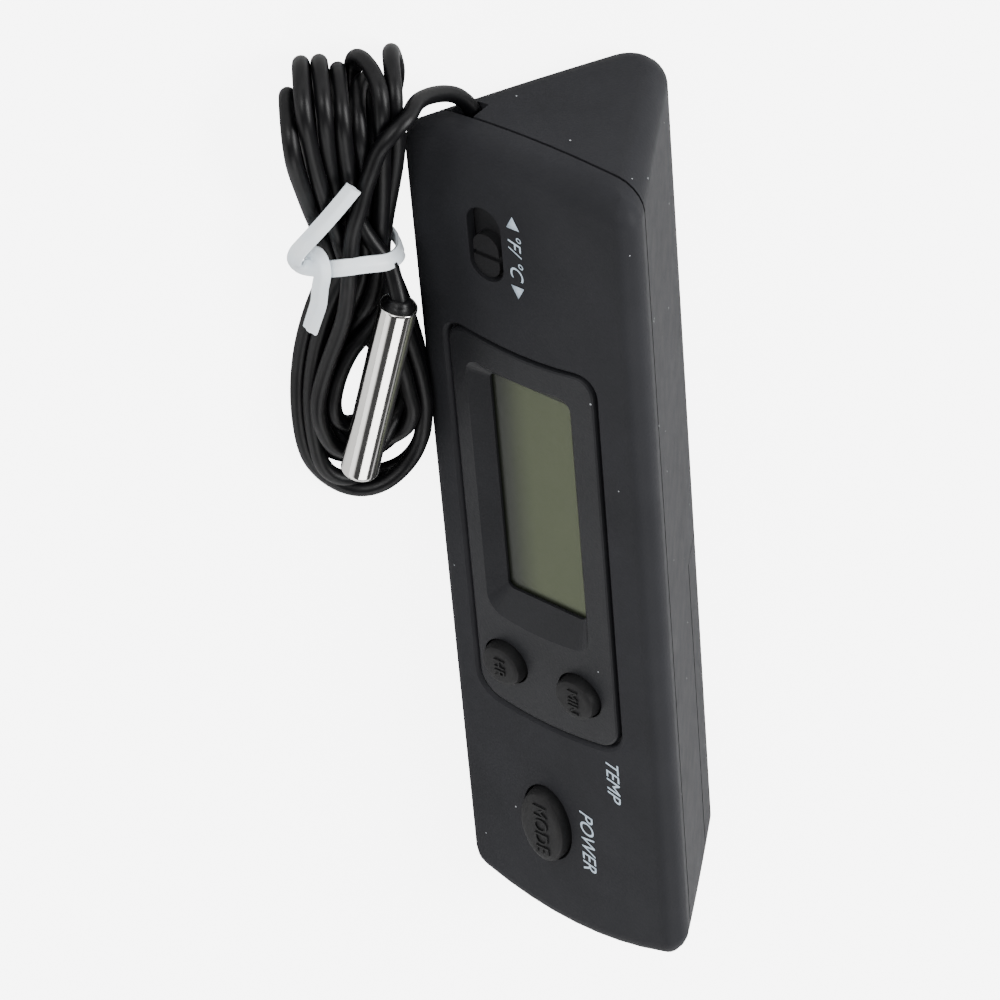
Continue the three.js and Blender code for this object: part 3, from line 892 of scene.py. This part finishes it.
# ---- studio ----
FLOOR_SIZE = 3.0
FLOOR_GLOW = 6.0
SKY_LOW = (2.2, 2.2, 2.2, 1)
SKY_HIGH = (0.07, 0.07, 0.072, 1)
SKY_EDGE = (0.30, 0.44)
LAMP_AIM = Vector((0, -0.005, 0.01))
LAMPS = (
    ("key", (-0.15, 0.8, 0.95), (0.9, 0.5), 26),
    ("side", (-0.95, 0.25, 0.35), (0.4, 0.5), 0.6),
    ("front", (-0.7, -0.6, 0.85), (0.7, 0.4), 10),
    ("strip", (0.67, -0.15, 0.72), (0.62, 0.3), 3.6),
)


def make_floor():
    """A pale floor that glows only for the camera, so that it looks nearly white."""
    mesh = bpy.data.meshes.new("floor")
    size = FLOOR_SIZE
    corners = [(-size, -size, 0), (size, -size, 0), (size, size, 0), (-size, size, 0)]
    mesh.from_pydata(corners, [], [(0, 1, 2, 3)])
    floor = bpy.data.objects.new("floor", mesh)
    bpy.context.scene.collection.objects.link(floor)
    n = Nodes("floor_look")
    n.color(n.ramp(n.noise(3, 2), [(0.3, (0.60, 0.60, 0.60)), (0.7, (0.63, 0.63, 0.63))]))
    n.set(Roughness=0.9, Specular_IOR_Level=0.2)
    n.shader.inputs["Emission Color"].default_value = (1, 1, 1, 1)
    seen = n.add("ShaderNodeLightPath").outputs["Is Camera Ray"]
    n.link(n.math("MULTIPLY", seen, FLOOR_GLOW), n.shader.inputs["Emission Strength"])
    floor.data.materials.append(n.material)


def make_sky():
    """Bright low down and dim overhead, which gives the steel cap its bands."""
    world = bpy.data.worlds.new("studio")
    world.use_nodes = True
    tree = world.node_tree
    place = tree.nodes.new("ShaderNodeTexCoord")
    split = tree.nodes.new("ShaderNodeSeparateXYZ")
    ramp = tree.nodes.new("ShaderNodeValToRGB")
    tree.links.new(place.outputs["Generated"], split.inputs["Vector"])
    tree.links.new(split.outputs["Z"], ramp.inputs["Fac"])
    low, high = ramp.color_ramp.elements
    low.position, high.position = SKY_EDGE
    low.color = SKY_LOW
    high.color = SKY_HIGH
    tree.links.new(ramp.outputs["Color"], tree.nodes["Background"].inputs["Color"])
    tree.nodes["Background"].inputs["Strength"].default_value = 1.0
    bpy.context.scene.world = world


def make_lamps():
    """Large soft lamps, all turned towards the case."""
    for name, at, size, power in LAMPS:
        data = bpy.data.lights.new(name, "AREA")
        data.shape = "RECTANGLE"
        data.size, data.size_y = size
        data.energy = power
        lamp = bpy.data.objects.new(name, data)
        bpy.context.scene.collection.objects.link(lamp)
        lamp.location = at
        aim = LAMP_AIM - Vector(at)
        lamp.rotation_euler = aim.to_track_quat("-Z", "Y").to_euler()


make_camera()
looks = make_materials()
lead, lead_length = make_lead(looks["jacket"])
tie = make_tie(looks["tie"])
cap, seal = make_probe(looks["steel"], looks["jacket"])
dress_nodes(looks)
make_print(looks)
make_floor()
make_sky()
make_lamps()
